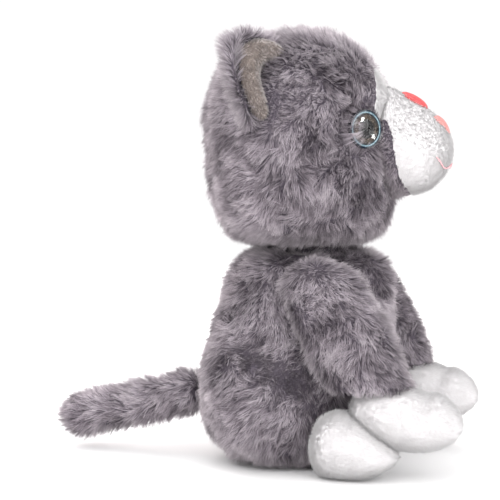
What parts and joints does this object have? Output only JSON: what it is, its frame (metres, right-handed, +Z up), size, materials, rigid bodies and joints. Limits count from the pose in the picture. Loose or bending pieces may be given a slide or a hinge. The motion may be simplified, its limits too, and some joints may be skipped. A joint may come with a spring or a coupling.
{
  "type": "plush cat",
  "caption": "Sitting plush kitten with long grey pile, white muzzle, chest and paws, cupped ears, domed eyes and a straight tail.",
  "frame": {"origin": "on the flat base that the kitten sits on, under the middle of the body", "axes": "+Z up; -Y is the way the kitten faces; +X is the kitten's own left; mirror symmetric about X = 0"},
  "size_m": [0.1536, 0.2251, 0.2272],
  "materials": {
    "grey_plush": "long soft pile, mauve grey",
    "white_plush": "short soft pile, white",
    "ear_velboa": "fine short pile, warm grey",
    "fibre": "loose polyester fibre",
    "pellet_cloth": "plain cloth bag of pellets",
    "black_plastic": "moulded black plastic",
    "iris_print": "glitter print on a plastic disc",
    "clear_plastic": "clear polished plastic",
    "nylon": "plain nylon",
    "coral_thread": "satin-stitched embroidery thread",
    "red_thread": "satin-stitched embroidery thread",
    "pink_thread": "embroidery thread",
    "seam_thread": "strong sewing thread"
  },
  "bodies": {
    "torso": {"body_cover": "grey_plush", "body_stuffing": "fibre", "pellet_bag": "pellet_cloth", "hind_foot_left": "white_plush", "hind_foot_right": "white_plush"},
    "neck": {"neck_stuffing": "fibre", "neck_seam_thread": "seam_thread"},
    "head": {"head_cover": "grey_plush", "head_stuffing": "fibre", "face_panel": "white_plush", "muzzle_stuffing": "fibre", "nose_embroidery": "coral_thread", "bridge_patch": "red_thread", "mouth_thread_left": "pink_thread", "mouth_thread_right": "pink_thread", "eye_cup_left": "black_plastic", "eye_cup_right": "black_plastic", "eye_iris_disc_left": "iris_print", "eye_iris_disc_right": "iris_print", "eye_dome_left": "clear_plastic", "eye_dome_right": "clear_plastic", "eye_washer_left": "nylon", "eye_washer_right": "nylon", "ear_back_left": "grey_plush", "ear_back_right": "grey_plush", "ear_lining_left": "ear_velboa", "ear_lining_right": "ear_velboa"},
    "arm_left": {"arm_sleeve_left": "grey_plush", "front_paw_left": "white_plush"},
    "arm_right": {"arm_sleeve_right": "grey_plush", "front_paw_right": "white_plush"},
    "tail": {"tail_cover": "grey_plush", "tail_stuffing": "fibre"}
  },
  "joints": [
    {"name": "head_turn", "type": "hinge", "parent": "torso", "child": "neck", "pos_m": [0, 0, 0.114], "axis": [0, 0, 1], "range_deg": [-25, 25], "stiffness_Nm_per_rad": 0.15},
    {"name": "head_nod", "type": "hinge", "parent": "neck", "child": "head", "pos_m": [0, 0, 0.114], "axis": [1, 0, 0], "range_deg": [-6, 6], "stiffness_Nm_per_rad": 1.2},
    {"name": "arm_swing_left", "type": "hinge", "parent": "torso", "child": "arm_left", "pos_m": [0.0512, -0.019, 0.096], "axis": [-1, 0, 0], "range_deg": [0, 55], "stiffness_Nm_per_rad": 0.15},
    {"name": "arm_swing_right", "type": "hinge", "parent": "torso", "child": "arm_right", "pos_m": [-0.0512, -0.019, 0.096], "axis": [-1, 0, 0], "range_deg": [0, 55], "stiffness_Nm_per_rad": 0.15},
    {"name": "tail_swing", "type": "hinge", "parent": "torso", "child": "tail", "pos_m": [0, 0.0645, 0.033], "axis": [0, 0, 1], "range_deg": [-35, 35], "stiffness_Nm_per_rad": 0.08}
  ]
}
